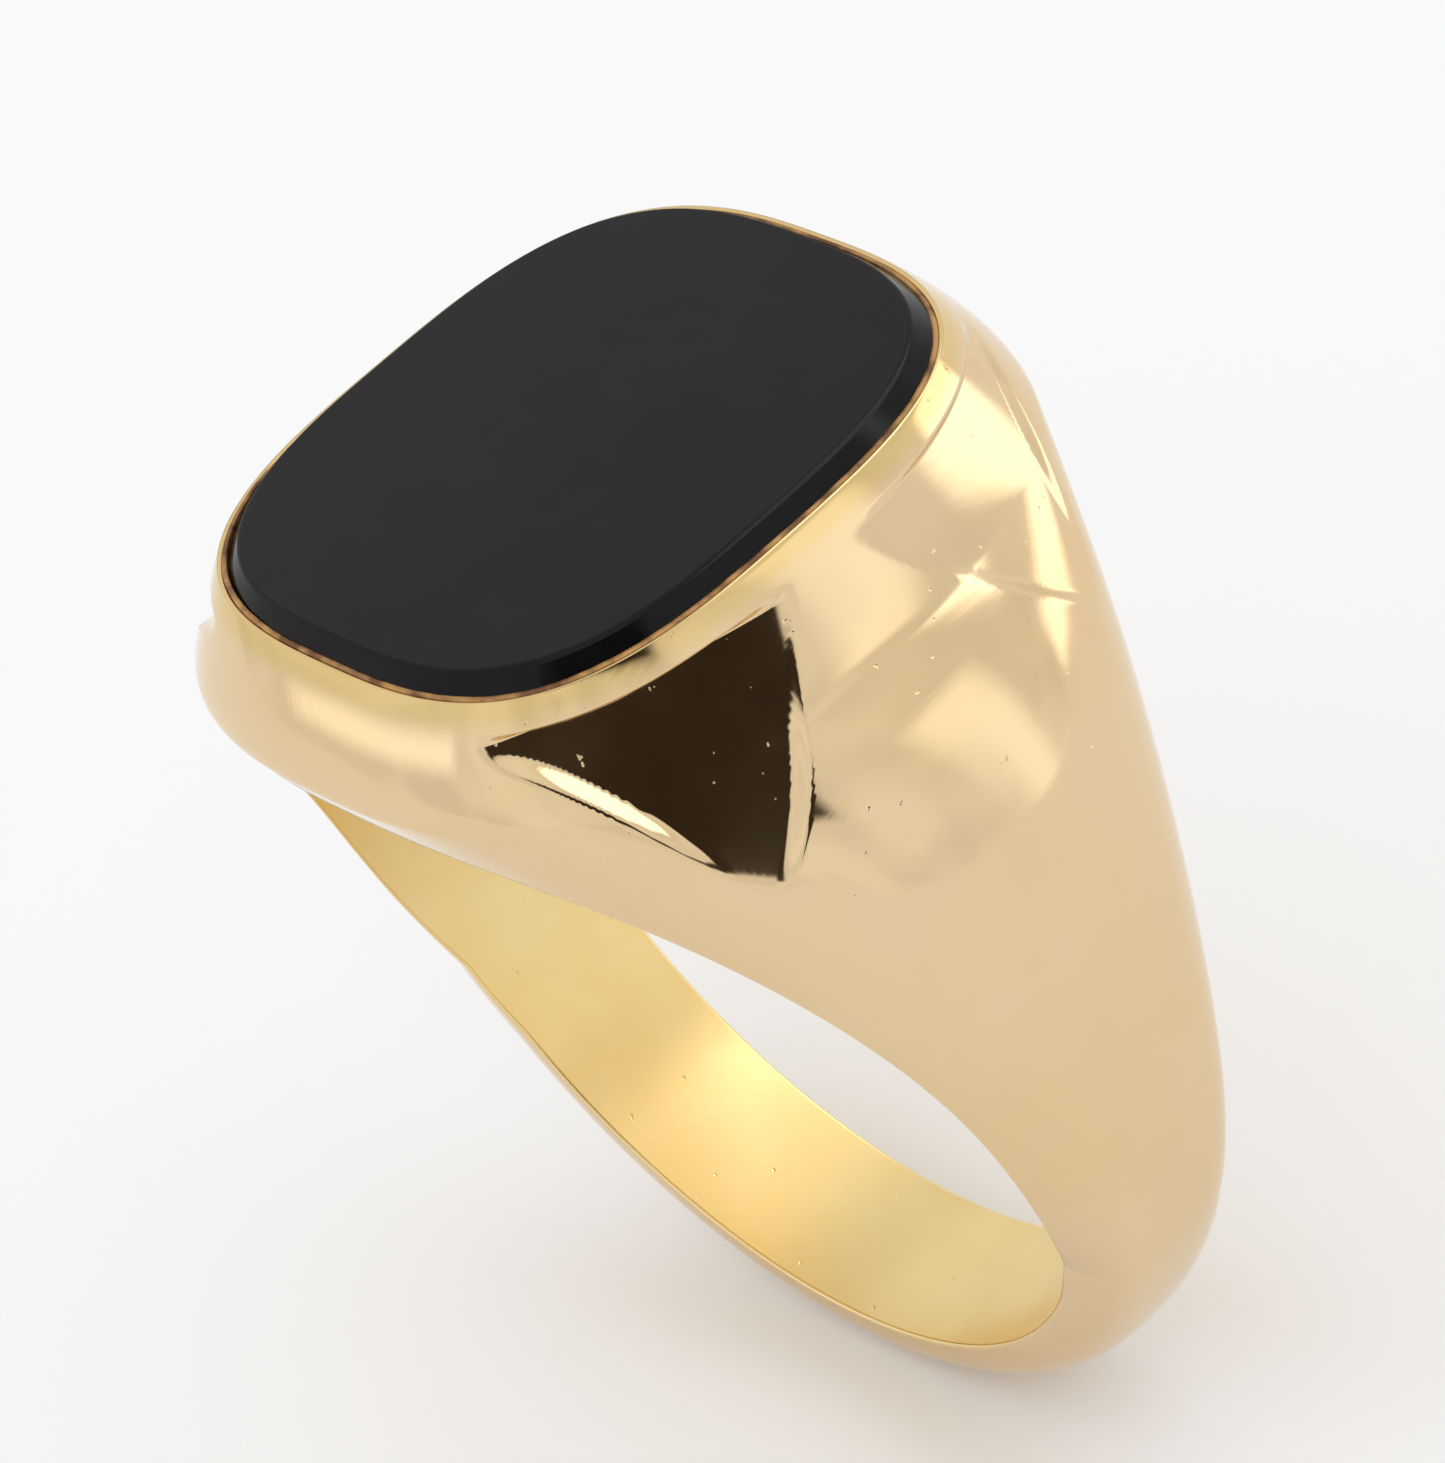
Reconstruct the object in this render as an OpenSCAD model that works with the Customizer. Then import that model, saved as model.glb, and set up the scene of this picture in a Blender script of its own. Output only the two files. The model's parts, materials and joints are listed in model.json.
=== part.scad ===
// Signet ring: a gold ring with a flat cushion-shaped onyx slab set in a rounded collar.
// The finger bore runs along Y through the origin, and the stone faces +Z.

/* [Finger bore and shank] */
// Diameter of the finger bore
bore_d = 20; // [18:0.25:22]
// Thickness of the rear shank at its middle
shank_t = 1.5; // [1.2:0.05:1.8]
// Width of the rear shank along the finger
shank_w = 3.9; // [3:0.1:5]
// Angle from the top of the ring down to where each shoulder meets the rear shank
shank_joint_angle = 112; // [105:1:120]
// Angle from the top of the ring down to where the head meets each shoulder
head_joint_angle = 45; // [40:1:50]

/* [Head and shoulders] */
// Width of the head across the finger, where its walls meet the collar's rounding
head_w = 16; // [15.4:0.1:16.4]
// Length of the head along the finger, where its walls meet the collar's rounding
head_l = 16.8; // [16.2:0.1:18]
// Height above the bore at which the walls meet the collar's rounding
wall_rise = 0.75; // [0.6:0.05:1]
// Width that each shoulder gains per unit of depth just below the collar
shoulder_flare = 1.12; // [0.9:0.02:1.2]
// Depth by which each shoulder hollows in halfway down
shoulder_hollow = 1; // [0.6:0.05:1.1]
// Length that each wall gains per unit of height, at the rear shank and at the collar
shank_flare = 0.29; // [0.1:0.01:0.5]
wall_flare = 0.53; // [0.2:0.01:0.8]

/* [Collar and stone] */
// Width of the stone across the finger
stone_w = 12; // [11.4:0.1:12.4]
// Length of the stone along the finger
stone_l = 14; // [13.4:0.1:14.4]
// Thickness of the stone
stone_t = 1.8; // [1.6:0.1:2.4]
// Distance by which the stone's sloping side steps in above the collar
stone_slope = 0.27; // [0.1:0.01:0.4]
// Height above the bore of the collar's top edge
collar_rise = 3.2; // [3:0.05:3.4]
// Thickness of the cement between the stone and the gold
cement_t = 0.1; // [0.06:0.02:0.16]

/* [Hidden] */

// Distance that cuts run past the surfaces they open
past = 2;
// Facets on each eighth of an outline, and levels in each lofted stretch
facets = 8;
wall_levels = 14;
head_levels = 3;
collar_levels = 6;

bore_r = bore_d / 2;
shank_r = bore_r + shank_t;
joint_x = shank_r * sin(shank_joint_angle);
joint_z = shank_r * cos(shank_joint_angle);
wall_z = bore_r + wall_rise;
wall_h = wall_z - joint_z;

// An outline is the curve |x/a|^p + |y/b|^q = 1. The stone is a cushion, the head is a softer one,
// and at the rear shank the outline is a straight side with crowned faces.
cushion_power = 3;
head_power = 2.6;
shank_side_power = 24;
shank_face_power = 2.3;

// Share of the way from the shank joint up to the top of the walls
function rise(z) = (z - joint_z) / wall_h;

// Cubic curve over a share u, between two values with given slopes per unit of height
function blend(u, a, slope_a, b, slope_b) =
    a * (1 + 2 * u) * (1 - u) * (1 - u) + slope_a * wall_h * u * (1 - u) * (1 - u)
    + b * u * u * (3 - 2 * u) + slope_b * wall_h * u * u * (u - 1);

// Half the body's width at height z: tangent to the shank's circle below, hollowed halfway up
function body_x(z) =
    let (u = rise(z))
    blend(u, joint_x, -joint_z / joint_x, head_w / 2, -shoulder_flare)
    - shoulder_hollow * 16 * u * u * (1 - u) * (1 - u);

// Half the body's length at height z
function body_y(z) = blend(rise(z), shank_w / 2, shank_flare, head_l / 2, wall_flare);

// Outline powers at height z, which settle to the head's power at the top of the walls
function settle(u) = u * (1 + u - u * u);
function side_power(z) =
    shank_side_power * pow(head_power / shank_side_power, settle(rise(z)));
function face_power(z) = shank_face_power + (head_power - shank_face_power) * settle(rise(z));

// One quarter of an outline in unit size, from the X axis up to just before the Y axis
corner_share = 0.85;
function quarter(p, q) =
    let (corner_x = pow(1 - pow(corner_share, q), 1 / p))
    concat(
        [for (k = [0 : facets - 1])
            let (y = corner_share * sin(90 * k / facets))
            [pow(1 - pow(y, q), 1 / p), y]],
        [for (k = [0 : facets - 1])
            let (x = corner_x * cos(90 * k / facets))
            [x, pow(1 - pow(x, p), 1 / q)]]);

// A whole outline of half-sizes a and b
function outline(a, b, p, q) =
    let (c = quarter(p, q), n = len(c))
    [for (v = concat(
        c,
        [[0, 1]],
        [for (i = [n - 1 : -1 : 1]) [-c[i][0], c[i][1]]],
        [[-1, 0]],
        [for (i = [1 : n - 1]) [-c[i][0], -c[i][1]]],
        [[0, -1]],
        [for (i = [n - 1 : -1 : 1]) [c[i][0], -c[i][1]]]))
        [a * v[0], b * v[1]]];

function ring_at(points, z) = [for (v = points) [v[0], v[1], z]];

// Outline of the body's walls at height z
function body_ring(z) =
    filed(ring_at(outline(body_x(z), body_y(z), side_power(z), face_power(z)), z));

// The collar's section is a cubic curve over a share t, from the top of the walls to its inner edge.
// It starts along the wall for a height of collar_start, and ends with a slope of end_drop in end_run.
collar_z = bore_r + collar_rise;
collar_start = 0.2 * (collar_z - wall_z);
end_run = 0.27;
end_drop = 0.26;
collar_land = 0.2;
rim_w = stone_w / 2 + collar_land;
rim_l = stone_l / 2 + collar_land;
function cubic(t, a, b, c, d) =
    a * pow(1 - t, 3) + 3 * b * t * pow(1 - t, 2) + 3 * c * t * t * (1 - t) + d * pow(t, 3);
function collar_height(t) =
    cubic(t, wall_z, wall_z + collar_start, collar_z - end_drop, collar_z);
function collar_ring(t) =
    let (power = head_power + (cushion_power - head_power) * t * t)
    filed(ring_at(outline(
        cubic(t, head_w / 2, head_w / 2 - shoulder_flare * collar_start, rim_w + end_run, rim_w),
        cubic(t, head_l / 2, head_l / 2 + wall_flare * collar_start, rim_l + end_run, rim_l),
        power, power), collar_height(t)));

// A shallow facet is filed on each corner of the head. Points beyond its plane are taken back level
// by facet_share of the way at the front, and by the smaller back_facet_share at the back. The plane
// faces facet_turn round from the Y axis and leans back by facet_tilt. The facet fades out below the
// collar's rounding, towards the shoulder and at the wall.
facet_turn = 66;
facet_tilt = 40;
facet_share = 0.74;
back_facet_share = 0.25;
facet_level = [sin(facet_turn), cos(facet_turn), 0];
facet_normal = facet_level * cos(facet_tilt) + [0, 0, sin(facet_tilt)];
facet_reach = facet_normal * [head_w / 2, 0.1 * head_l, wall_z];
facet_top = collar_z - 0.5;
facet_top_run = 0.24;
facet_side = wall_z + 2.3;
facet_side_run = 0.4;
facet_front = head_l / 2 + 0.9;
facet_front_run = 0.24;
function ease(t) = let (u = min(max(t, 0), 1)) u * u * (3 - 2 * u);
function facet_depth(v) =
    max(0, facet_normal * v - facet_reach) / cos(facet_tilt)
    * ease((facet_top - v[2]) / facet_top_run)
    * ease((v[1] + v[2] - facet_side) / facet_side_run)
    * ease((facet_front - v[1] - v[0] / 2) / facet_front_run);
function filed(ring) = [for (v = ring)
    let (share = v[1] < 0 ? facet_share : back_facet_share,
         depth = share * facet_depth([abs(v[0]), abs(v[1]), v[2]]))
    [v[0] - sign(v[0]) * depth * facet_level[0], v[1] - sign(v[1]) * depth * facet_level[1], v[2]]];

// The collar is soldered to the head at this share of the section, level with the stone's seat
seat_share = 0.38;
seat_z = collar_height(seat_share);
stone_base_z = seat_z + cement_t;
stone_top_z = stone_base_z + stone_t;

// Solid skin over a stack of outlines with the same number of points
module loft(rings) {
    n = len(rings[0]);
    top = len(rings) - 1;
    polyhedron(
        points = [for (ring = rings) each ring],
        faces = concat(
            [[for (i = [0 : n - 1]) i]],
            [for (k = [0 : top - 1]) for (i = [0 : n - 1])
                let (j = (i + 1) % n) each [
                    [k * n + i, (k + 1) * n + i, (k + 1) * n + j],
                    [k * n + i, (k + 1) * n + j, k * n + j]]],
            [[for (i = [n - 1 : -1 : 0]) top * n + i]]),
        convexity = 4);
}

module finger_bore() {
    rotate([90, 0, 0])
        cylinder(h = head_l + 2 * past, d = bore_d, center = true, $fn = 128);
}

// Wedge with its edge on the bore axis, opening upwards to an angle on each side
module wedge(angle) {
    reach = 2 * bore_d;
    rotate([90, 0, 0])
        linear_extrude(head_l + 2 * past, center = true)
            polygon([[0, 0], [reach * tan(angle), reach], [-reach * tan(angle), reach]]);
}

// Upright block with the stone's outline grown by a margin, between two heights
module stone_block(margin, z0, z1) {
    translate([0, 0, z0])
        linear_extrude(z1 - z0)
            polygon(outline(stone_w / 2 + margin, stone_l / 2 + margin, cushion_power, cushion_power));
}

// The stone: upright in its seat, then a sloping side and a small quarter-round bevel up to the face
module onyx_stone() {
    bevel = 0.08;
    bevel_steps = 3;
    color("#2b2a2b")
        loft(concat(
            [for (z = [stone_base_z, collar_z])
                ring_at(outline(stone_w / 2, stone_l / 2, cushion_power, cushion_power), z)],
            [for (k = [0 : bevel_steps])
                let (a = 90 * k / bevel_steps, inset = stone_slope + bevel * (1 - cos(a)))
                ring_at(outline(stone_w / 2 - inset, stone_l / 2 - inset, cushion_power, cushion_power),
                        stone_top_z - bevel * (1 - sin(a)))]));
}

// The cement: a thin bed under the stone with a lip that fills the gap around it
module setting_cement() {
    lip_below = 0.05;
    color("#ab7b4b")
        difference() {
            stone_block(cement_t, seat_z, collar_z - lip_below);
            stone_block(0, stone_base_z, collar_z + past);
        }
}

// The collar: a rounded gold band soldered on the head around the stone
module collar() {
    color("#e3c489")
        difference() {
            loft([for (k = [0 : collar_levels])
                collar_ring(seat_share + (1 - seat_share) * k / collar_levels)]);
            stone_block(cement_t, seat_z - past, collar_z + past);
        }
}

// The body's outer walls, from the shank joint up to the stone's seat
module body_walls() {
    loft(concat(
        [for (k = [0 : wall_levels - 1]) body_ring(joint_z + wall_h * k / wall_levels)],
        [for (k = [0 : head_levels]) collar_ring(seat_share * k / head_levels)]));
}

// The head: a solid block with broad front and back walls, a flat seat and the bore's arch below
module head() {
    color("#dfc196")
        difference() {
            intersection() {
                body_walls();
                wedge(head_joint_angle);
            }
            finger_bore();
        }
}

// A shoulder: the tapering leg between the head and the rear shank. The right one mirrors the left.
module left_shoulder() {
    color("#dcbd8f")
        difference() {
            body_walls();
            wedge(head_joint_angle);
            finger_bore();
            shank_side(-1);
            translate([head_w + past, 0, 0])
                cube([2 * (head_w + past), 2 * head_l, 4 * bore_d], center = true);
        }
}

module right_shoulder() {
    mirror([1, 0, 0])
        left_shoulder();
}

// Block that covers everything below the plane of the shank joint, on the side sign
module shank_side(sign) {
    rotate([0, sign * (shank_joint_angle - 90), 0])
        translate([0, 0, -bore_d])
            cube([4 * bore_d, 2 * head_l, 2 * bore_d], center = true);
}

// Section of the rear shank: flat against the finger, with a straight side and crowned faces
module shank_section() {
    steps = 16;
    bore_share = pow(1 - pow(bore_r / shank_r, shank_side_power), 1 / shank_face_power);
    polygon([for (k = [0 : steps])
        let (s = bore_share * sin(-90 + 180 * k / steps))
        [shank_r * pow(1 - pow(abs(s), shank_face_power), 1 / shank_side_power), s * shank_w / 2]]);
}

// The rear shank: a round hoop that closes the ring below the shoulders
module rear_shank() {
    color("#d8ba92")
        intersection() {
            rotate([90, 0, 0])
                rotate_extrude($fn = 128)
                    shank_section();
            shank_side(-1);
            shank_side(1);
        }
}

onyx_stone();
setting_cement();
collar();
head();
left_shoulder();
right_shoulder();
rear_shank();
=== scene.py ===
import json
import math
import bpy
import numpy as np
from mathutils import Matrix, Vector


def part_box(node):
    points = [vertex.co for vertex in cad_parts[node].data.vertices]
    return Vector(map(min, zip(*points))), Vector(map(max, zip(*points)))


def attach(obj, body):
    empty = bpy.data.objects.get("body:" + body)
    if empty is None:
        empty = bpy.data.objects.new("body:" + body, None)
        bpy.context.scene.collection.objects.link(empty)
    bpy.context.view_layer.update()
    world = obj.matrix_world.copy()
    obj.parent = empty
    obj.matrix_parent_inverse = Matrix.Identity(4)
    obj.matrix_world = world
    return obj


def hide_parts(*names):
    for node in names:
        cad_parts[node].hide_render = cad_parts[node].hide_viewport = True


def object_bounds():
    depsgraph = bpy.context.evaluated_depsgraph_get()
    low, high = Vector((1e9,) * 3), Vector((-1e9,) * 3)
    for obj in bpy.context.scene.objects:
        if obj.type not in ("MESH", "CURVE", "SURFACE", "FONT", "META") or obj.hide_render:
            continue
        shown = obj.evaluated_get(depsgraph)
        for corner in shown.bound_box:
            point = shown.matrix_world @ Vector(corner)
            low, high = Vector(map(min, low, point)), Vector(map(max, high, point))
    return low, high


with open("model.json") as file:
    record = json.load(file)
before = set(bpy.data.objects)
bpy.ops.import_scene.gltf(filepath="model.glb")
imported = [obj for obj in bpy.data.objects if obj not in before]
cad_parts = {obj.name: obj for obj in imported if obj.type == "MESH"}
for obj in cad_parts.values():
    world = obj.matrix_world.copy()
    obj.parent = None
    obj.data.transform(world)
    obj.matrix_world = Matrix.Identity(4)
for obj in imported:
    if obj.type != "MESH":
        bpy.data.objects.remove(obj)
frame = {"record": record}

CAD_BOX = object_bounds()
MM = 0.001

# ---------------------------------------------------------------- dimensions, in millimetres
# Read from the frame where it holds them. The rest repeat the driving dimensions of the design.

BORE_R = frame["record"]["mounts"][0]["dims"]["r_mm"]
STONE_LOW, STONE_HIGH = [[c / MM for c in corner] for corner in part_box("onyx_stone")]
SEAT_Z, COLLAR_Z = [corner[2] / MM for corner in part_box("collar")]
SHANK_R = -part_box("rear_shank")[0][2] / MM
STONE_A, STONE_B = STONE_HIGH[0], STONE_HIGH[1]
STONE_SLOPE = 0.27
CEMENT_T = 0.1

SHANK_W = 3.9
SHANK_JOINT = math.radians(112)
HEAD_JOINT = math.radians(45)
HEAD_A, HEAD_B = 8.0, 8.4
WALL_Z = BORE_R + 0.75
SHOULDER_FLARE = 1.12
SHOULDER_HOLLOW = 1.0
SHANK_FLARE, WALL_FLARE = 0.29, 0.53
CUSHION_POWER, HEAD_POWER = 3.0, 2.6
SIDE_POWER, FACE_POWER = 24.0, 2.3
CORNER_SHARE = 0.85
COLLAR_START = 0.2 * (COLLAR_Z - WALL_Z)
END_RUN, END_DROP, LAND = 0.27, 0.26, 0.2
SEAT_SHARE = 0.38
EDGE_R = 0.09
# A plane files each corner of the head. Its cut fades out at a top, a side and a front bound, each
# over a short run.
FACET_TURN, FACET_TILT = math.radians(66), math.radians(40)
FACET_SHARE, BACK_FACET_SHARE = 0.74, 0.25
FACET_EDGE = 0.1
FACET_TOP, FACET_TOP_RUN = COLLAR_Z - 0.5, 0.24
FACET_SIDE, FACET_SIDE_RUN = WALL_Z + 2.3, 0.4
FACET_FRONT, FACET_FRONT_RUN = HEAD_B + 0.9, 0.24
LAND_EDGE = 0.05
STONE_BEVEL, BEVEL_LEAN = 0.1, 0.02
SETTLE_TURN = math.radians(14)
# The cement's lip: its height over the collar, the wave counts and height of its uneven edge, the
# extra height at the front left, and how far its crest stands up.
LIP_RISE, LIP_WAVES, LIP_WAVE_H = 0.004, (3, 7, 13, 29, 47, 83), 0.022
LIP_FRONT_H, LIP_CREST = 0.05, 0.03

JOINT_X = SHANK_R * math.sin(SHANK_JOINT)
JOINT_Z = SHANK_R * math.cos(SHANK_JOINT)
WALL_H = WALL_Z - JOINT_Z

# ---------------------------------------------------------------- the ring's surface
# A level v runs from 0 at the shank joint to 1 at the top of the walls and 2 at the collar's inner
# edge. At each level the outline is |x/a|^p + |y/b|^q = 1, and u runs along a quarter of it, from
# 0 on the X axis to 1 on the Y axis.


def normalised(vectors):
    return vectors / np.linalg.norm(vectors, axis=-1, keepdims=True)


def blend(u, a, slope_a, b, slope_b):
    low, high = (1 - u) ** 2, u ** 2
    return (a * (1 + 2 * u) * low + slope_a * WALL_H * u * low
            + b * high * (3 - 2 * u) + slope_b * WALL_H * high * (u - 1))


def cubic(t, a, b, c, d):
    return a * (1 - t) ** 3 + 3 * b * t * (1 - t) ** 2 + 3 * c * t * t * (1 - t) + d * t ** 3


def level(v):
    """Half sizes a and b, height z and powers p and q of the outline at level v."""
    u = np.minimum(v, 1.0)
    t = np.maximum(v - 1.0, 0.0)
    settled = u * (1 + u - u * u)
    body_a = (blend(u, JOINT_X, -JOINT_Z / JOINT_X, HEAD_A, -SHOULDER_FLARE)
              - SHOULDER_HOLLOW * 16 * (u * (1 - u)) ** 2)
    body_b = blend(u, SHANK_W / 2, SHANK_FLARE, HEAD_B, WALL_FLARE)
    rim_a, rim_b = STONE_A + LAND, STONE_B + LAND
    collar_a = cubic(t, HEAD_A, HEAD_A - SHOULDER_FLARE * COLLAR_START, rim_a + END_RUN, rim_a)
    collar_b = cubic(t, HEAD_B, HEAD_B + WALL_FLARE * COLLAR_START, rim_b + END_RUN, rim_b)
    collar_z = cubic(t, WALL_Z, WALL_Z + COLLAR_START, COLLAR_Z - END_DROP, COLLAR_Z)
    rise = (CUSHION_POWER - HEAD_POWER) * t * t
    p = np.where(v < 1, SIDE_POWER * (HEAD_POWER / SIDE_POWER) ** settled, HEAD_POWER + rise)
    q = np.where(v < 1, FACE_POWER + (HEAD_POWER - FACE_POWER) * settled, HEAD_POWER + rise)
    return (np.where(v < 1, body_a, collar_a), np.where(v < 1, body_b, collar_b),
            np.where(v < 1, JOINT_Z + WALL_H * u, collar_z), p, q)


def unit_outline(u, p, q):
    """Point u of a quarter outline in unit size. The points crowd towards its corner."""
    y_near = CORNER_SHARE * np.sin(np.pi * np.minimum(u, 0.5))
    x_near = (1 - y_near ** q) ** (1 / p)
    corner_x = (1 - CORNER_SHARE ** q) ** (1 / p)
    x_far = corner_x * np.cos(np.pi * (np.maximum(u, 0.5) - 0.5))
    y_far = (1 - np.clip(x_far, 0, 1) ** p) ** (1 / q)
    return np.where(u < 0.5, x_near, x_far), np.where(u < 0.5, y_near, y_far)


def outline_share(x, y, p, q):
    """The u of a unit outline's point: the inverse of unit_outline."""
    corner_x = (1 - CORNER_SHARE ** q) ** (1 / p)
    near = np.arcsin(np.clip(y / CORNER_SHARE, 0, 1)) / np.pi
    far = 0.5 + np.arccos(np.clip(x / corner_x, 0, 1)) / np.pi
    return np.where(y < CORNER_SHARE, near, far)


UP = np.array([0.0, 0.0, 1.0])
FILED_WAY = np.array([math.sin(FACET_TURN), math.cos(FACET_TURN), 0.0])
FACET = FILED_WAY * math.cos(FACET_TILT) + UP * math.sin(FACET_TILT)
FACET_REACH = FACET @ np.array([HEAD_A, 0.2 * HEAD_B, WALL_Z])
SIDE_BOUND = np.array([0.0, 1.0, 1.0])
FRONT_BOUND = np.array([0.5, 1.0, 0.0])


def uncut_surface(u, v):
    """Point of the outer surface in the quarter x > 0, y > 0, before its corner is filed flat."""
    a, b, z, p, q = level(v)
    x, y = unit_outline(u, p, q)
    return np.stack([a * x, b * y, z + 0 * x], -1)


def ease(t):
    """Smooth step from 0 to 1 and its slope."""
    t = np.clip(t, 0, 1)
    return t * t * (3 - 2 * t), 6 * t * (1 - t)


def facet_cut(point, filed):
    """How far a point is filed back level, and the gradient of that distance, at a filed share."""
    gap = point @ FACET - FACET_REACH
    soft = np.clip((gap + FACET_EDGE) / (2 * FACET_EDGE), 0, 1)
    depth = filed * np.where(gap > FACET_EDGE, gap, FACET_EDGE * soft ** 2)
    top, top_slope = ease((FACET_TOP - point @ UP) / FACET_TOP_RUN)
    side, side_slope = ease((point @ SIDE_BOUND - FACET_SIDE) / FACET_SIDE_RUN)
    front, front_slope = ease((FACET_FRONT - point @ FRONT_BOUND) / FACET_FRONT_RUN)
    share = top * side * front
    gradient = ((filed * soft * share)[..., None] * FACET
                - (depth * top_slope * side * front / FACET_TOP_RUN)[..., None] * UP
                + (depth * top * side_slope * front / FACET_SIDE_RUN)[..., None] * SIDE_BOUND
                - (depth * top * side * front_slope / FACET_FRONT_RUN)[..., None] * FRONT_BOUND)
    return share * depth / math.cos(FACET_TILT), gradient / math.cos(FACET_TILT)


def surface(u, v, filed=FACET_SHARE):
    """Point of the outer surface in the quarter x > 0, y > 0."""
    point = uncut_surface(u, v)
    return point - facet_cut(point, filed)[0][..., None] * FILED_WAY


def surface_normal(u, v, filed=FACET_SHARE):
    """Outward normal of the outer surface, from the slope of (x/a)^p + (y/b)^q."""
    step = 1e-4
    point = uncut_surface(u, v)
    x, y = point[..., 0], point[..., 1]
    a, b, z, p, q = level(v)

    def field(w):
        a1, b1, _, p1, q1 = level(w)
        return (x / a1) ** p1 + (y / b1) ** q1
    rise = (level(v + step)[2] - level(v - step)[2]) / (2 * step)
    slope = (field(v + step) - field(v - step)) / (2 * step) / rise
    normal = normalised(np.stack([p * (x / a) ** (p - 1) / a, q * (y / b) ** (q - 1) / b, slope], -1))
    gradient = facet_cut(point, filed)[1]
    facing = (normal @ FILED_WAY)[..., None]
    return normalised(normal * (1 - gradient @ FILED_WAY)[..., None] + gradient * facing)


def solve(gap, low, high, steps=50):
    """Bisection: gap is positive at low and negative at high."""
    for _ in range(steps):
        middle = (low + high) / 2
        positive = gap(middle) > 0
        low = np.where(positive, middle, low)
        high = np.where(positive, high, middle)
    return (low + high) / 2


def level_at_angle(u, angle):
    """Level at which line u of the outlines crosses the half plane at an angle from the top."""
    def gap(v):
        point = surface(u, v)
        return point[..., 0] * np.cos(angle) - point[..., 2] * np.sin(angle)
    zero = np.zeros(np.broadcast(u, angle).shape)
    return solve(gap, zero, zero + 1.999)


def level_at_radius(u, radius, low):
    """Level at which line u of the outlines comes within a radius of the bore's axis."""
    def gap(v):
        point = surface(u, v)
        return radius ** 2 - point[..., 0] ** 2 - point[..., 2] ** 2
    return solve(gap, low + 0 * u, 0 * u + 1.2)


def face_share(angle, radius):
    """The u and level of the front face at a radius in the half plane at an angle."""
    x, z = radius * np.sin(angle), radius * np.cos(angle)
    v = (z - JOINT_Z) / WALL_H
    a, b, _, p, q = level(v)
    unit_x = np.clip(x / a, 0, 1)
    unit_y = (1 - unit_x ** p) ** (1 / q)
    return outline_share(unit_x, unit_y, p, q), v, b * unit_y


def bore_normal(angle):
    return np.stack([-np.sin(angle), 0 * angle, -np.cos(angle)], -1)


def radial(radius, y, angle):
    radius, y, angle = np.broadcast_arrays(radius, y, angle)
    return np.stack([radius * np.sin(angle), y, radius * np.cos(angle)], -1)


FILLET_STEPS = 4


def fillet(start, corner, end, normal_start, normal_end, steps=FILLET_STEPS):
    """Rows of a small rounding from start round corner to end, with their normals."""
    t = np.linspace(0, 1, steps + 1).reshape((-1,) + (1,) * start.ndim)
    rows = start * (1 - t) ** 2 + 2 * corner * t * (1 - t) + end * t ** 2
    return rows, normalised(normal_start * (1 - t) + normal_end * t)


# ---------------------------------------------------------------- meshes with exact normals


class Shell:
    """Collects grids and caps in millimetres, and makes one mesh of them with set normals."""

    def __init__(self):
        self.index, self.points, self.faces, self.normals = {}, [], [], []

    def vertex(self, point):
        key = tuple(np.round(point, 5) + 0.0)
        if key not in self.index:
            self.index[key] = len(self.points)
            self.points.append(key)
        return self.index[key]

    def face(self, corners, normals):
        kept, kept_normals = [], []
        for corner, normal in zip(corners, normals):
            if corner not in kept:
                kept.append(corner)
                kept_normals.append(normal)
        if len(kept) > 2:
            self.faces.append(kept)
            self.normals.extend(kept_normals)

    def grid(self, points, normals):
        """Quads over rows of points, turned so that they face along the normals."""
        rows, columns = points.shape[:2]
        ids = [[self.vertex(points[i, j]) for j in range(columns)] for i in range(rows)]
        cross = np.cross(points[1:, :-1] - points[:-1, 1:], points[1:, 1:] - points[:-1, :-1])
        flip = (cross * (normals[1:, 1:] + normals[:-1, :-1])).sum(-1).sum() < 0
        for i in range(rows - 1):
            for j in range(columns - 1):
                loop = [(i, j), (i, j + 1), (i + 1, j + 1), (i + 1, j)]
                if not flip:
                    loop.reverse()
                self.face([ids[r][c] for r, c in loop], [normals[r, c] for r, c in loop])

    def cap(self, points, normal):
        """One flat polygon through a closed row of points."""
        corners = [self.vertex(p) for p in points]
        area = np.cross(points, np.roll(points, -1, axis=0)).sum(0)
        if np.dot(area, normal) < 0:
            corners.reverse()
        self.face(corners, [np.array(normal, float)] * len(corners))

    def build(self, name):
        mesh = bpy.data.meshes.new(name)
        mesh.from_pydata([[c * MM for c in p] for p in self.points], [], self.faces)
        mesh.polygons.foreach_set("use_smooth", [True] * len(mesh.polygons))
        mesh.normals_split_custom_set([tuple(float(c) for c in n) for n in self.normals])
        mesh.update()
        piece = bpy.data.objects.new(name, mesh)
        bpy.context.scene.collection.objects.link(piece)
        return piece


FRONT = np.array([1.0, -1.0, 1.0])
LEFT = np.array([-1.0, 1.0, 1.0])
# How finely each surface is divided.
SECTION_STEPS, FRONT_STEPS, BORE_STEPS = 88, 170, 8
HEAD_ROWS, SHOULDER_ROWS, HOOP_ROWS, COLLAR_ROWS = 128, 90, 150, 33
STONE_POINTS, CEMENT_POINTS = 97, 241
# The collar's last level, a hair below its inner edge.
COLLAR_END = 2 - 1e-6


def section(angle):
    """Closed row of points and normals where the half plane at an angle cuts a shoulder."""
    share, _, _ = face_share(angle, BORE_R + EDGE_R)
    u = share * np.linspace(1, 0, SECTION_STEPS + 1)
    v = level_at_angle(u, angle)
    outer = surface(u, v)
    normals = surface_normal(u, v)
    return close_section(outer, normals, angle)


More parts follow.
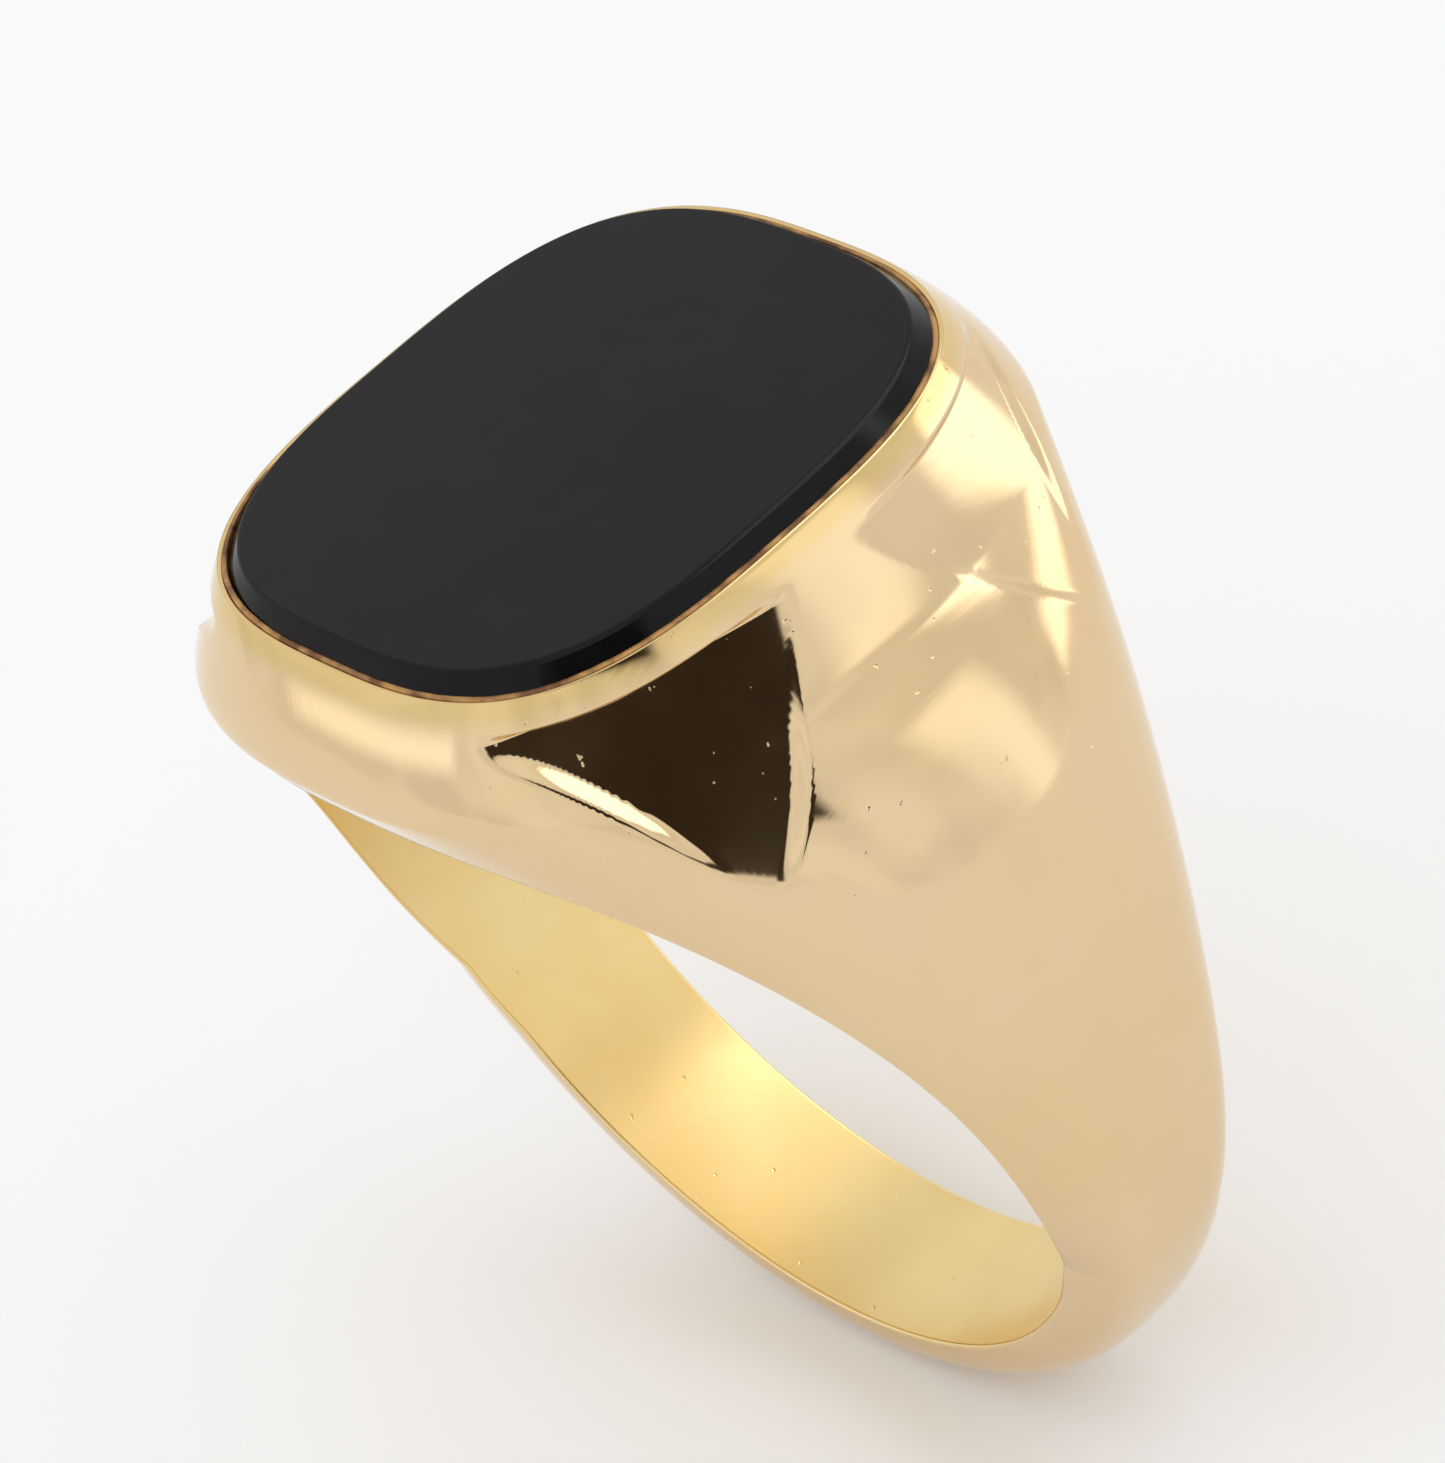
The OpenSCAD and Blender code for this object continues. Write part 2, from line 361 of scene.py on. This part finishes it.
def close_section(outer, normals, angle):
    """Adds the bore's edges and wall to the back half of a section, and mirrors it to the front."""
    _, _, edge_y = face_share(angle, BORE_R) if abs(angle) <= SHANK_JOINT else (0, 0, outer[0][1])
    edge_y = max(edge_y, outer[0][1])
    inward = bore_normal(np.array(angle))
    corner = radial(BORE_R, edge_y, angle)
    end = radial(BORE_R, edge_y - EDGE_R, angle)
    round_points, round_normals = fillet(outer[0], corner, end, normals[0], inward)
    half = np.concatenate([round_points[::-1], outer[1:]])
    half_normals = np.concatenate([round_normals[::-1], normals[1:]])
    points = np.concatenate([half, half[-2::-1] * FRONT])
    all_normals = np.concatenate([half_normals, half_normals[-2::-1] * FRONT])
    y = np.linspace(-half[0][1], half[0][1], BORE_STEPS + 1)[1:]
    wall = radial(BORE_R, y, angle)
    return (np.concatenate([points, wall]),
            np.concatenate([all_normals, np.broadcast_to(inward, wall.shape)]))


def shoulder(name, side):
    shell = Shell()
    angles = np.linspace(HEAD_JOINT, SHANK_JOINT, SHOULDER_ROWS)
    sections = [section(angle) for angle in angles]
    points = np.stack([s[0] for s in sections]) * side
    normals = np.stack([s[1] for s in sections]) * side
    shell.grid(points, normals)
    shell.cap(points[0][:-1], np.array([-math.cos(HEAD_JOINT), 0, math.sin(HEAD_JOINT)]) * side)
    shell.cap(points[-1][:-1], np.array([math.cos(SHANK_JOINT), 0, -math.sin(SHANK_JOINT)]) * side)
    return shell.build(name)


def rear_shank():
    """The hoop. It takes up the shoulder's section at each joint and settles to its own."""
    shell = Shell()
    first_points, first_normals = section(SHANK_JOINT)
    turn = np.array([[math.cos(SHANK_JOINT), 0, -math.sin(SHANK_JOINT)], [0, 1, 0],
                     [math.sin(SHANK_JOINT), 0, math.cos(SHANK_JOINT)]])
    start = first_points @ turn.T
    unit_r = (BORE_R + EDGE_R) / SHANK_R
    unit_y = (1 - unit_r ** SIDE_POWER) ** (1 / FACE_POWER)
    share = outline_share(unit_r, unit_y, SIDE_POWER, FACE_POWER)
    u = share * np.linspace(1, 0, SECTION_STEPS + 1)
    x, y = unit_outline(u, SIDE_POWER, FACE_POWER)
    outer = np.stack([0 * x, SHANK_W / 2 * y, SHANK_R * x], -1)
    slopes = np.stack([0 * x, FACE_POWER * y ** (FACE_POWER - 1) / (SHANK_W / 2),
                       SIDE_POWER * x ** (SIDE_POWER - 1) / SHANK_R], -1)
    edge_y = SHANK_W / 2 * (1 - (BORE_R / SHANK_R) ** SIDE_POWER) ** (1 / FACE_POWER)
    outer[0][1] = min(outer[0][1], edge_y)
    own, _ = close_section(outer, normalised(slopes), 2 * math.pi)
    angles = np.linspace(SHANK_JOINT, 2 * math.pi - SHANK_JOINT, HOOP_ROWS)
    rows = []
    for angle in angles:
        near = min(angle - SHANK_JOINT, 2 * math.pi - SHANK_JOINT - angle) / SETTLE_TURN
        weight = 1 - min(near, 1.0)
        weight = weight * weight * (3 - 2 * weight)
        flat = start * weight + own * (1 - weight)
        rows.append(radial(flat[:, 2], flat[:, 1], angle))
    points = np.stack(rows)
    along = np.gradient(points, axis=0)
    across = np.empty_like(points)
    across[:, 1:-1] = points[:, 2:] - points[:, :-2]
    across[:, 0] = across[:, -1] = points[:, 1] - points[:, -2]
    normals = normalised(np.cross(along, across))
    outermost = HOOP_ROWS // 2, SECTION_STEPS + FILLET_STEPS
    if np.dot(normals[outermost], points[outermost]) < 0:
        normals = -normals
    wall = np.abs(np.hypot(points[..., 0], points[..., 2]) - BORE_R) < 1e-6
    exact = -normalised(points * np.array([1.0, 0.0, 1.0]))
    normals = np.where(wall[..., None], exact, normals)
    shell.grid(points, normals)
    cap_normal = np.array([-math.cos(SHANK_JOINT), 0, math.sin(SHANK_JOINT)])
    shell.cap(points[0][:-1], cap_normal)
    shell.cap(points[-1][:-1], cap_normal * LEFT)
    return shell.build("gold_rear_shank")


def head_shares():
    """The u values along the seat, which the collar shares with the head."""
    turning, _, _ = face_share(HEAD_JOINT, BORE_R + EDGE_R)
    return np.concatenate([turning * np.linspace(0, 1, SECTION_STEPS + 1),
                           (turning + (1 - turning) * np.linspace(0, 1, FRONT_STEPS + 1))[1:]])


def head():
    """The head: walls down to the bore's edge and the two joints, the arch, and the flat seat."""
    shell = Shell()
    _, turning_v, _ = face_share(HEAD_JOINT, BORE_R + EDGE_R)
    quarter_u = head_shares()
    side_v = level_at_angle(quarter_u[:SECTION_STEPS + 1], HEAD_JOINT)
    front_v = level_at_radius(quarter_u[SECTION_STEPS:], BORE_R + EDGE_R, turning_v)
    low = np.concatenate([side_v, front_v[1:]])
    rows = np.linspace(0, 1, HEAD_ROWS + 1)[:, None]
    v = low[None] * (1 - rows) + (1 + SEAT_SHARE) * rows
    u = quarter_u[None] + 0 * v
    quarter, quarter_normals = surface(u, v), surface_normal(u, v)
    back, back_normals = surface(u, v, BACK_FACET_SHARE), surface_normal(u, v, BACK_FACET_SHARE)
    for mirror in (1.0, LEFT):
        shell.grid(back * mirror, back_normals * mirror)
        shell.grid(quarter * mirror * FRONT, quarter_normals * mirror * FRONT)

    start = quarter[0, SECTION_STEPS:]
    start_normals = quarter_normals[0, SECTION_STEPS:]
    angle = np.arctan2(start[:, 0], start[:, 2])
    _, _, edge_y = face_share(angle, BORE_R)
    edge_y = np.maximum(edge_y, start[:, 1])
    inward = bore_normal(angle)
    corner = radial(BORE_R, edge_y, angle)
    end = radial(BORE_R, edge_y - EDGE_R, angle)
    points, normals = fillet(start, corner, end, start_normals, inward)
    across = np.linspace(-1, 1, BORE_STEPS + 1)[:, None]
    arch = radial(BORE_R, across * end[:, 1], angle)
    arch_normals = np.broadcast_to(inward, arch.shape)
    for mirror in (1.0, LEFT):
        shell.grid(points * mirror, normals * mirror)
        shell.grid(points * mirror * FRONT, normals * mirror * FRONT)
        shell.grid(arch * mirror, arch_normals * mirror)

    joint = section(HEAD_JOINT)[0][:-1]
    outward = np.array([math.cos(HEAD_JOINT), 0, -math.sin(HEAD_JOINT)])
    shell.cap(joint, outward)
    shell.cap(joint * LEFT, outward * LEFT)
    shell.cap(whole_outline(back[-1], quarter[-1]), [0, 0, 1])
    return shell.build("gold_head")


def whole_outline(quarter, front=None):
    """A closed outline from its back quarter, from the X axis to the Y axis, and its front one."""
    front = quarter if front is None else front
    back_half = np.concatenate([quarter, quarter[-2::-1] * LEFT])
    front_half = np.concatenate([front, front[-2::-1] * LEFT])
    return np.concatenate([back_half, front_half[-2:0:-1] * FRONT])


def looped(row):
    return np.concatenate([row, row[:1]])


def cushion_row(u, margin, z):
    """Closed row of points and sideways normals on the stone's outline grown by a margin."""
    x, y = unit_outline(u, CUSHION_POWER, CUSHION_POWER)
    a, b = STONE_A + margin, STONE_B + margin
    points = np.stack([a * x, b * y, z + 0 * x], -1)
    normals = normalised(np.stack([x ** (CUSHION_POWER - 1) / a, y ** (CUSHION_POWER - 1) / b,
                                   0 * x], -1))
    whole = whole_outline(points)
    return looped(whole), looped(whole_outline(normals))


def collar():
    """The collar: the rounded outside, a narrow land, and the wall that holds the stone."""
    shell = Shell()
    u = head_shares()
    rows, row_normals = [], []
    for v in np.linspace(1 + SEAT_SHARE, COLLAR_END, COLLAR_ROWS):
        line = v + 0 * u
        rows.append(looped(whole_outline(surface(u, line, BACK_FACET_SHARE), surface(u, line))))
        row_normals.append(looped(whole_outline(surface_normal(u, line, BACK_FACET_SHARE),
                                                surface_normal(u, line))))
    land_points, _ = cushion_row(u, CEMENT_T + LAND_EDGE, COLLAR_Z)
    rows.append(land_points)
    row_normals.append(np.broadcast_to(UP, land_points.shape))
    shell.grid(np.stack(rows), np.stack(row_normals))
    edge, outward = cushion_row(u, CEMENT_T, COLLAR_Z)
    low_edge, _ = cushion_row(u, CEMENT_T, COLLAR_Z - LAND_EDGE)
    up = np.broadcast_to(UP, edge.shape)
    shell.grid(*fillet(land_points, edge, low_edge, up, -outward))
    foot, _ = cushion_row(u, CEMENT_T, SEAT_Z)
    shell.grid(np.stack([low_edge, foot]), np.stack([-outward, -outward]))
    shell.grid(np.stack([foot, rows[0]]), np.stack([-up, -up]))
    return shell.build("gold_collar")


def onyx():
    """The stone: upright in its seat, then a sloping side and a small rounded bevel."""
    shell = Shell()
    u = np.linspace(0, 1, STONE_POINTS)
    top = STONE_HIGH[2]
    base, outward = cushion_row(u, 0, STONE_LOW[2])
    waist, _ = cushion_row(u, 0, COLLAR_Z)
    shoulder_row, _ = cushion_row(u, -STONE_SLOPE, top - STONE_BEVEL)
    rise = top - STONE_BEVEL - COLLAR_Z
    sloping = normalised(outward * rise + UP * STONE_SLOPE)
    shell.grid(np.stack([base, waist]), np.stack([outward, outward]))
    shell.grid(np.stack([waist, shoulder_row]), np.stack([sloping, sloping]))
    corner, _ = cushion_row(u, -STONE_SLOPE - BEVEL_LEAN, top)
    rim, _ = cushion_row(u, -STONE_SLOPE - STONE_BEVEL, top)
    up = np.broadcast_to(UP, rim.shape)
    shell.grid(*fillet(shoulder_row, corner, rim, sloping, up, 6))
    shell.cap(rim[:-1], [0, 0, 1])
    shell.cap(base[:-1], [0, 0, -1])
    return shell.build("onyx_slab")


def cement():
    """The cement: a bed and a lip whose top edge is uneven, as squeezed-out cement is."""
    shell = Shell()
    u = np.linspace(0, 1, CEMENT_POINTS)
    inner, outward = cushion_row(u, 0.0, 0.0)
    outer, _ = cushion_row(u, CEMENT_T, 0.0)
    turn = np.arctan2(inner[:, 1] / STONE_B, inner[:, 0] / STONE_A)
    ragged = sum(np.sin(k * turn + 2.4 * k * k) / k ** 0.6 for k in LIP_WAVES)
    front_left = np.clip(np.cos(turn + 2.2), 0, 1)
    height = COLLAR_Z + LIP_RISE + LIP_WAVE_H * ragged + LIP_FRONT_H * front_left
    lift = 0.5 + 0.5 * np.sin(5 * turn + 1.0)
    crest = (inner + outer) / 2 + UP * (height + LIP_CREST * lift)[:, None]
    inner_top = inner + UP * height[:, None]
    outer_top = outer + UP * (height - LIP_CREST)[:, None]
    up = np.broadcast_to(UP, inner.shape)
    shell.grid(np.stack([outer_top, crest, inner_top]),
               np.stack([normalised(outward + up), up, normalised(up - outward)]))
    foot_in, foot_out = inner + UP * SEAT_Z, outer + UP * SEAT_Z
    bed = inner + UP * (SEAT_Z + CEMENT_T)
    shell.grid(np.stack([inner_top, bed]), np.stack([-outward, -outward]))
    shell.grid(np.stack([foot_out, outer_top]), np.stack([outward, outward]))
    shell.cap(bed[:-1], [0, 0, 1])
    shell.cap(foot_out[:-1], [0, 0, -1])
    return shell.build("cement_bed")


# ---------------------------------------------------------------- materials
# Noise scales are per metre. Each pair of tones is what the gold's slow patches blend between.

POLISHED_TONES = ((0.78, 0.595, 0.355), (0.78, 0.575, 0.325))
# Painted reflection: a deeper olive gold on the collar's top band, for the darker room that the flat
# band mirrors.
BAND_REFLECTION_TONES = ((0.76, 0.56, 0.26), (0.75, 0.53, 0.22))
# Painted light: a brighter, more saturated gold on the bore's wall, for the light caught inside the
# bore.
BORE_LIGHT_TONES = ((0.87, 0.68, 0.33), (0.85, 0.63, 0.27))
PATCH_LOW, PATCH_HIGH = 0.38, 0.66
BAND_LOW, BAND_HIGH = (COLLAR_Z - 0.5) * MM, (COLLAR_Z - 0.2) * MM
BORE_MARGIN = 0.00001
WAVE_DEPTH, LINE_DEPTH, PIT_DEPTH = 0.0001, 0.0000022, 0.00002
STONE_LINE_DEPTH, GRAIN_DEPTH = 0.000001, 0.00004


def new_material(name):
    material = bpy.data.materials.new(name)
    material.use_nodes = True
    nodes = material.node_tree.nodes
    return material, nodes, material.node_tree.links, nodes["Principled BSDF"]


def noise(nodes, links, coords, scale, detail, stretch=(1, 1, 1)):
    """Noise over the object's own coordinates, which are in metres."""
    mapping = nodes.new("ShaderNodeMapping")
    mapping.inputs["Scale"].default_value = stretch
    links.new(coords, mapping.inputs["Vector"])
    texture = nodes.new("ShaderNodeTexNoise")
    texture.inputs["Scale"].default_value = scale
    texture.inputs["Detail"].default_value = detail
    links.new(mapping.outputs["Vector"], texture.inputs["Vector"])
    return texture.outputs["Fac"]


def remap(nodes, links, value, low, high, to_low, to_high):
    node = nodes.new("ShaderNodeMapRange")
    for name, number in (("From Min", low), ("From Max", high), ("To Min", to_low), ("To Max", to_high)):
        node.inputs[name].default_value = number
    links.new(value, node.inputs["Value"])
    return node.outputs["Result"]


def maths(nodes, links, operation, first, second=None):
    node = nodes.new("ShaderNodeMath")
    node.operation = operation
    links.new(first, node.inputs[0])
    if second is not None:
        links.new(second, node.inputs[1])
    return node.outputs["Value"]


def bump(nodes, links, height, distance, strength, normal=None):
    node = nodes.new("ShaderNodeBump")
    node.inputs["Distance"].default_value = distance
    node.inputs["Strength"].default_value = strength
    links.new(height, node.inputs["Height"])
    if normal is not None:
        links.new(normal, node.inputs["Normal"])
    return node.outputs["Normal"]


def mix_colour(nodes, links, share, first, second):
    node = nodes.new("ShaderNodeMix")
    node.data_type = "RGBA"
    links.new(share, node.inputs["Factor"])
    for socket, colour in ((6, first), (7, second)):
        if isinstance(colour, tuple):
            node.inputs[socket].default_value = (*colour, 1)
        else:
            links.new(colour, node.inputs[socket])
    return node.outputs[2]


def two_tone(nodes, links, value, low, low_colour, high, high_colour):
    ramp = nodes.new("ShaderNodeValToRGB")
    for element, place, colour in zip(ramp.color_ramp.elements, (low, high), (low_colour, high_colour)):
        element.position = place
        element.color = (*colour, 1)
    links.new(value, ramp.inputs["Fac"])
    return ramp.outputs["Color"]


def place_shares(nodes, links, coords):
    """Two masks by place: 1 on the bore's wall, where the gold takes painted light, and up to 1 on the
    collar's top band, where it takes a painted reflection.
    """
    split = nodes.new("ShaderNodeSeparateXYZ")
    links.new(coords, split.inputs["Vector"])
    flat = nodes.new("ShaderNodeCombineXYZ")
    links.new(split.outputs["X"], flat.inputs["X"])
    links.new(split.outputs["Z"], flat.inputs["Z"])
    radius = nodes.new("ShaderNodeVectorMath")
    radius.operation = "LENGTH"
    links.new(flat.outputs["Vector"], radius.inputs[0])
    bore = remap(nodes, links, radius.outputs["Value"],
                 BORE_R * MM + BORE_MARGIN, (BORE_R + EDGE_R) * MM, 1, 0)
    reflection_band_share = remap(nodes, links, split.outputs["Z"], BAND_LOW, BAND_HIGH, 0, 1)
    return bore, reflection_band_share


def gold_material():
    """Hand-polished gold: a slow wave left by the file, fine polishing lines and small pits, with
    painted light on the bore's wall and a painted reflection on the collar's top band.
    """
    material, nodes, links, shader = new_material("yellow_gold")
    coords = nodes.new("ShaderNodeTexCoord").outputs["Object"]
    patches = noise(nodes, links, coords, 260, 3)
    polished_tone, band_reflection_tone, bore_light_tone = [
        two_tone(nodes, links, patches, PATCH_LOW, first, PATCH_HIGH, second)
        for first, second in (POLISHED_TONES, BAND_REFLECTION_TONES, BORE_LIGHT_TONES)]
    bore, reflection_band_share = place_shares(nodes, links, coords)
    # Painted reflection: the collar's top band takes the deeper olive gold.
    tone = mix_colour(nodes, links, reflection_band_share, polished_tone, band_reflection_tone)
    # Painted light: the bore's wall takes the brighter gold.
    tone = mix_colour(nodes, links, bore, tone, bore_light_tone)
    links.new(tone, shader.inputs["Base Color"])
    shader.inputs["Metallic"].default_value = 1.0
    polish = remap(nodes, links, noise(nodes, links, coords, 420, 4), 0.3, 0.7, 0.06, 0.13)
    satin = remap(nodes, links, bore, 0, 1, 0, 0.2)
    links.new(maths(nodes, links, "ADD", polish, satin), shader.inputs["Roughness"])
    wave = bump(nodes, links, noise(nodes, links, coords, 170, 1), WAVE_DEPTH, 0.7)
    lines = noise(nodes, links, coords, 5200, 2, (1, 0.08, 0.3))
    polished = bump(nodes, links, lines, LINE_DEPTH, 0.7, wave)
    pits = remap(nodes, links, noise(nodes, links, coords, 3400, 2), 0.73, 0.78, 0, -1)
    links.new(bump(nodes, links, pits, PIT_DEPTH, 0.5, polished), shader.inputs["Normal"])
    return material


def onyx_material():
    material, nodes, links, shader = new_material("black_onyx")
    coords = nodes.new("ShaderNodeTexCoord").outputs["Object"]
    haze = noise(nodes, links, coords, 700, 4)
    links.new(two_tone(nodes, links, haze, 0.4, (0.0028, 0.0028, 0.0032), 0.7, (0.0046, 0.0046, 0.005)),
              shader.inputs["Base Color"])
    shader.inputs["IOR"].default_value = 1.54
    shader.inputs["Specular IOR Level"].default_value = 0.15
    rough = remap(nodes, links, noise(nodes, links, coords, 900, 4), 0.3, 0.7, 0.05, 0.11)
    links.new(rough, shader.inputs["Roughness"])
    scratch = noise(nodes, links, coords, 7000, 1, (0.06, 1, 1))
    links.new(bump(nodes, links, scratch, STONE_LINE_DEPTH, 0.5), shader.inputs["Normal"])
    return material


def cement_material():
    material, nodes, links, shader = new_material("brown_cement")
    coords = nodes.new("ShaderNodeTexCoord").outputs["Object"]
    grain = noise(nodes, links, coords, 1500, 5)
    links.new(two_tone(nodes, links, grain, 0.38, (0.16, 0.06, 0.014), 0.6, (0.55, 0.29, 0.09)),
              shader.inputs["Base Color"])
    shader.inputs["Roughness"].default_value = 0.5
    links.new(bump(nodes, links, grain, GRAIN_DEPTH, 0.8), shader.inputs["Normal"])
    return material


# ---------------------------------------------------------------- camera, floor and light

AIM = Vector((-1.85, 1.80, 3.23)) * MM
CAMERA_DISTANCE = 138.6 * MM
AZIMUTH, ELEVATION, ROLL = math.radians(58.75), math.radians(37.93), math.radians(-21.54)
SENSOR_WIDTH, FOCAL_LENGTH = 36, 164.205
FLOOR_HALF, FLOOR_COLOUR = 1.2, (0.955, 0.957, 0.965, 1)


def make_camera():
    back = Vector((math.sin(AZIMUTH) * math.cos(ELEVATION),
                   -math.cos(AZIMUTH) * math.cos(ELEVATION), math.sin(ELEVATION)))
    level_right = Vector((math.cos(AZIMUTH), math.sin(AZIMUTH), 0))
    level_up = back.cross(level_right)
    right = level_right * math.cos(ROLL) + level_up * math.sin(ROLL)
    up = level_up * math.cos(ROLL) - level_right * math.sin(ROLL)
    camera = bpy.data.cameras.new("camera")
    camera.sensor_fit = "HORIZONTAL"
    camera.sensor_width = SENSOR_WIDTH
    camera.lens = FOCAL_LENGTH
    camera.clip_start = 0.01
    camera.clip_end = 10
    holder = bpy.data.objects.new("camera", camera)
    turn = Matrix((right, up, back)).transposed().to_4x4()
    holder.matrix_world = Matrix.Translation(AIM + back * CAMERA_DISTANCE) @ turn
    bpy.context.scene.collection.objects.link(holder)
    bpy.context.scene.camera = holder


def make_floor():
    low = CAD_BOX[0][2]
    mesh = bpy.data.meshes.new("floor")
    corners = ((-1, -1), (1, -1), (1, 1), (-1, 1))
    mesh.from_pydata([(x * FLOOR_HALF, y * FLOOR_HALF, low) for x, y in corners],
                     [], [(0, 1, 2, 3)])
    floor = bpy.data.objects.new("floor", mesh)
    bpy.context.scene.collection.objects.link(floor)
    material, nodes, links, shader = new_material("floor")
    shader.inputs["Base Color"].default_value = FLOOR_COLOUR
    shader.inputs["Roughness"].default_value = 0.9
    mesh.materials.append(material)


def direction(azimuth, elevation):
    """Unit vector. Azimuth runs from the ring's front, -Y, towards +X."""
    azimuth, elevation = math.radians(azimuth), math.radians(elevation)
    return Vector((math.sin(azimuth) * math.cos(elevation), -math.cos(azimuth) * math.cos(elevation),
                   math.sin(elevation)))


STUDIO_WHITE = (1.0, 1.0, 1.0)
STUDIO_GREY = (0.84, 0.835, 0.83)
CARD_EDGE = 0.035
# A card's place (azimuth, elevation, roll), half width and height, all in degrees, and its colour.
# The dark one is the camera's side of the room, which the head's corner facet mirrors.
CARDS = {
    "camera_side": (66, 40, 0, 21, 12, (0.030, 0.021, 0.013)),
    "right_window": (157, 8, -12, 14, 6, (1.9, 1.9, 1.9)),
    "shoulder_strip": (121, 8, 0, 4, 26, (1.3, 1.3, 1.3)),
    "front_strip": (-28, 11, 14, 20, 3, (1.35, 1.35, 1.35)),
    "back_top": (168, 50, 0, 24, 16, (2.2, 2.2, 2.2)),
}


def card_mask(nodes, links, ray, azimuth, elevation, roll, half_width, half_height):
    """1 on a rectangular card seen from the ring and 0 off it, with soft edges."""
    centre = direction(azimuth, elevation)
    level = direction(azimuth + 90, 0)
    upright = centre.cross(level)
    if upright.z < 0:
        upright = -upright
    turn = math.radians(roll)
    across = level * math.cos(turn) + upright * math.sin(turn)
    along = upright * math.cos(turn) - level * math.sin(turn)

    def dot(axis):
        node = nodes.new("ShaderNodeVectorMath")
        node.operation = "DOT_PRODUCT"
        links.new(ray, node.inputs[0])
        node.inputs[1].default_value = axis
        return node.outputs["Value"]

    facing = dot(centre)
    mask = remap(nodes, links, facing, 0.0, 0.05, 0, 1)
    for axis, half in ((across, half_width), (along, half_height)):
        offset = maths(nodes, links, "ABSOLUTE", maths(nodes, links, "DIVIDE", dot(axis), facing))
        reach = math.tan(math.radians(half))
        inside = remap(nodes, links, offset, reach - CARD_EDGE, reach + CARD_EDGE, 1, 0)
        mask = maths(nodes, links, "MULTIPLY", mask, inside)
    return mask


def make_world():
    """A white tent. Its folds and the cards show in reflections, and all else sees plain white."""
    world = bpy.data.worlds.new("studio")
    bpy.context.scene.world = world
    world.use_nodes = True
    nodes, links = world.node_tree.nodes, world.node_tree.links
    ray = nodes.new("ShaderNodeTexCoord").outputs["Generated"]
    folds = remap(nodes, links, noise(nodes, links, ray, 2.6, 2), 0.38, 0.62, 0, 1)
    colour = mix_colour(nodes, links, folds, STUDIO_GREY, STUDIO_WHITE)
    for azimuth, elevation, roll, half_width, half_height, tone in CARDS.values():
        mask = card_mask(nodes, links, ray, azimuth, elevation, roll, half_width, half_height)
        colour = mix_colour(nodes, links, mask, colour, tone)
    mirrored = nodes.new("ShaderNodeLightPath").outputs["Is Glossy Ray"]
    colour = mix_colour(nodes, links, mirrored, STUDIO_WHITE, colour)
    links.new(colour, nodes["Background"].inputs["Color"])


make_camera()
make_floor()
make_world()
bpy.context.scene.view_settings.view_transform = "Standard"

# ---------------------------------------------------------------- the ring

GOLD, ONYX, CEMENT = gold_material(), onyx_material(), cement_material()
PIECES = (
    (onyx(), "onyx_stone", "black_onyx", ONYX),
    (cement(), "setting_cement", "brown_cement", CEMENT),
    (collar(), "collar", "yellow_gold", GOLD),
    (head(), "head", "yellow_gold", GOLD),
    (shoulder("gold_left_shoulder", LEFT), "left_shoulder", "yellow_gold", GOLD),
    (shoulder("gold_right_shoulder", 1.0), "right_shoulder", "yellow_gold", GOLD),
    (rear_shank(), "rear_shank", "yellow_gold", GOLD),
)
for piece, node, slot, material in PIECES:
    piece.data.materials.append(material)
    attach(piece, "root")
    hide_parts(node)
